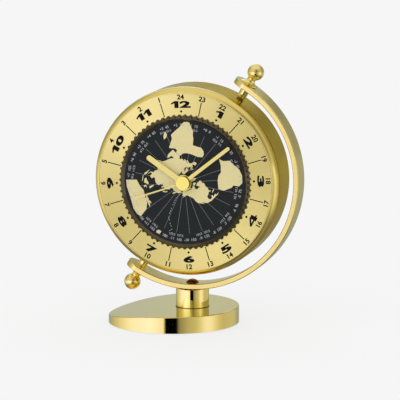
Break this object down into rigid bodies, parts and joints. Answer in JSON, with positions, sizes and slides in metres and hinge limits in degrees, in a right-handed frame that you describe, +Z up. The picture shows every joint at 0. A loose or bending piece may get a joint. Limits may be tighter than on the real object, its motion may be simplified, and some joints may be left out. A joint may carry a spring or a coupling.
{
  "type": "world time desk clock",
  "caption": "Gold desk clock with a turning world time disc; its round head spins on a tilted axis in a C-shaped arm on a pillar and round base.",
  "frame": {"origin": "on the pillar's axis, at the surface that the clock stands on", "axes": "+Z up; the dial looks along -Y; +X is to the viewer's right"},
  "size_m": [0.1232, 0.079, 0.1584],
  "materials": {
    "polished_gold": "polished",
    "satin_gold": "satin",
    "disc_print": "satin",
    "rim_plastic": "satin",
    "steel": "satin",
    "bush_bronze": "satin",
    "washer_nylon": "matte",
    "black_plastic": "matte",
    "gear_plastic": "satin",
    "battery_wrap": "satin",
    "coil_copper": "satin",
    "board_green": "satin",
    "felt": "matte"
  },
  "bodies": {
    "stand": {"base": "polished_gold", "base_pad": "felt", "pillar": "polished_gold", "pillar_screw": "steel", "arm": "polished_gold", "arm_screw": "steel", "upper_pivot_pin": "polished_gold", "upper_pin_clip": "steel", "upper_finial": "polished_gold", "upper_friction_washer": "washer_nylon", "lower_pivot_pin": "polished_gold", "lower_pin_clip": "steel", "lower_finial": "polished_gold", "lower_friction_washer": "washer_nylon"},
    "head": {"case": "polished_gold", "bezel": "polished_gold", "dial_plate": "satin_gold", "push_nuts": "steel", "rear_cover": "black_plastic", "cover_screws": "steel", "battery_tray": "black_plastic", "battery": "battery_wrap", "battery_contacts": "steel", "upper_pivot_bush": "bush_bronze", "lower_pivot_bush": "bush_bronze", "movement_front": "black_plastic", "movement_rear": "black_plastic", "train_plate": "black_plastic", "stator": "steel", "coil": "coil_copper", "circuit_board": "board_green"},
    "door": {"battery_door": "black_plastic"},
    "minute": {"cannon_pinion": "gear_plastic", "minute_hand": "polished_gold"},
    "hour": {"hour_wheel": "gear_plastic", "hour_hand": "polished_gold"},
    "day": {"day_wheel": "gear_plastic", "world_disc": "disc_print", "disc_rim": "rim_plastic"},
    "motion_wheel": {"minute_wheel": "gear_plastic"},
    "idler_a": {"reversing_idler_a": "gear_plastic"},
    "idler_b": {"reversing_idler_b": "gear_plastic"},
    "knob": {"setting_knob": "black_plastic"},
    "second": {"second_wheel": "gear_plastic", "second_hand": "polished_gold", "hub_cap": "polished_gold"},
    "intermediate": {"intermediate_wheel": "gear_plastic"},
    "stepper_rotor": {"rotor": "gear_plastic"},
    "third": {"third_wheel": "gear_plastic"},
    "centre": {"centre_wheel": "gear_plastic"}
  },
  "joints": [
    {"name": "head_turn", "type": "hinge", "parent": "stand", "child": "head", "pos_m": [0.0008, 0, 0.0888], "axis": [0.509, 0, 0.8607], "continuous": true},
    {"name": "door_swing", "type": "hinge", "parent": "head", "child": "door", "pos_m": [0.0008, 0.0104, 0.0581], "axis": [-1, 0, 0], "range_deg": [0, 95]},
    {"name": "minute_turn", "type": "hinge", "parent": "head", "child": "minute", "pos_m": [0.0008, 0, 0.0888], "axis": [0, 1, 0], "continuous": true},
    {"name": "hour_turn", "type": "hinge", "parent": "head", "child": "hour", "pos_m": [0.0008, 0, 0.0888], "axis": [0, 1, 0], "continuous": true},
    {"name": "motion_wheel_turn", "type": "hinge", "parent": "head", "child": "motion_wheel", "pos_m": [-0.0088, 0, 0.0888], "axis": [0, 1, 0], "continuous": true},
    {"name": "idler_a_turn", "type": "hinge", "parent": "head", "child": "idler_a", "pos_m": [0.0056, 0, 0.09711], "axis": [0, 1, 0], "continuous": true},
    {"name": "idler_b_turn", "type": "hinge", "parent": "head", "child": "idler_b", "pos_m": [0.00237, 0, 0.10408], "axis": [0, 1, 0], "continuous": true},
    {"name": "day_turn", "type": "hinge", "parent": "head", "child": "day", "pos_m": [0.0008, 0, 0.0888], "axis": [0, 1, 0], "continuous": true},
    {"name": "knob_turn", "type": "hinge", "parent": "head", "child": "knob", "pos_m": [-0.01559, 0, 0.08201], "axis": [0, 1, 0], "continuous": true},
    {"name": "second_turn", "type": "hinge", "parent": "head", "child": "second", "pos_m": [0.0008, 0, 0.0888], "axis": [0, 1, 0], "continuous": true},
    {"name": "intermediate_turn", "type": "hinge", "parent": "head", "child": "intermediate", "pos_m": [-0.00216, 0, 0.08068], "axis": [0, 1, 0], "continuous": true},
    {"name": "rotor_turn", "type": "hinge", "parent": "head", "child": "stepper_rotor", "pos_m": [0.00299, 0, 0.07636], "axis": [0, 1, 0], "continuous": true},
    {"name": "third_turn", "type": "hinge", "parent": "head", "child": "third", "pos_m": [0.00884, 0, 0.09022], "axis": [0, 1, 0], "continuous": true},
    {"name": "centre_turn", "type": "hinge", "parent": "head", "child": "centre", "pos_m": [0.0008, 0, 0.0888], "axis": [0, 1, 0], "continuous": true}
  ],
  "couplings": [
    {"joint": "hour_turn", "follows": "minute_turn", "ratio": 0.083333},
    {"joint": "motion_wheel_turn", "follows": "minute_turn", "ratio": -0.33333},
    {"joint": "idler_a_turn", "follows": "minute_turn", "ratio": -0.125},
    {"joint": "idler_b_turn", "follows": "minute_turn", "ratio": 0.125},
    {"joint": "day_turn", "follows": "minute_turn", "ratio": -0.041667},
    {"joint": "knob_turn", "follows": "minute_turn", "ratio": 1},
    {"joint": "intermediate_turn", "follows": "second_turn", "ratio": -5},
    {"joint": "rotor_turn", "follows": "second_turn", "ratio": 30},
    {"joint": "third_turn", "follows": "second_turn", "ratio": -0.13333},
    {"joint": "centre_turn", "follows": "second_turn", "ratio": 0.016667}
  ]
}
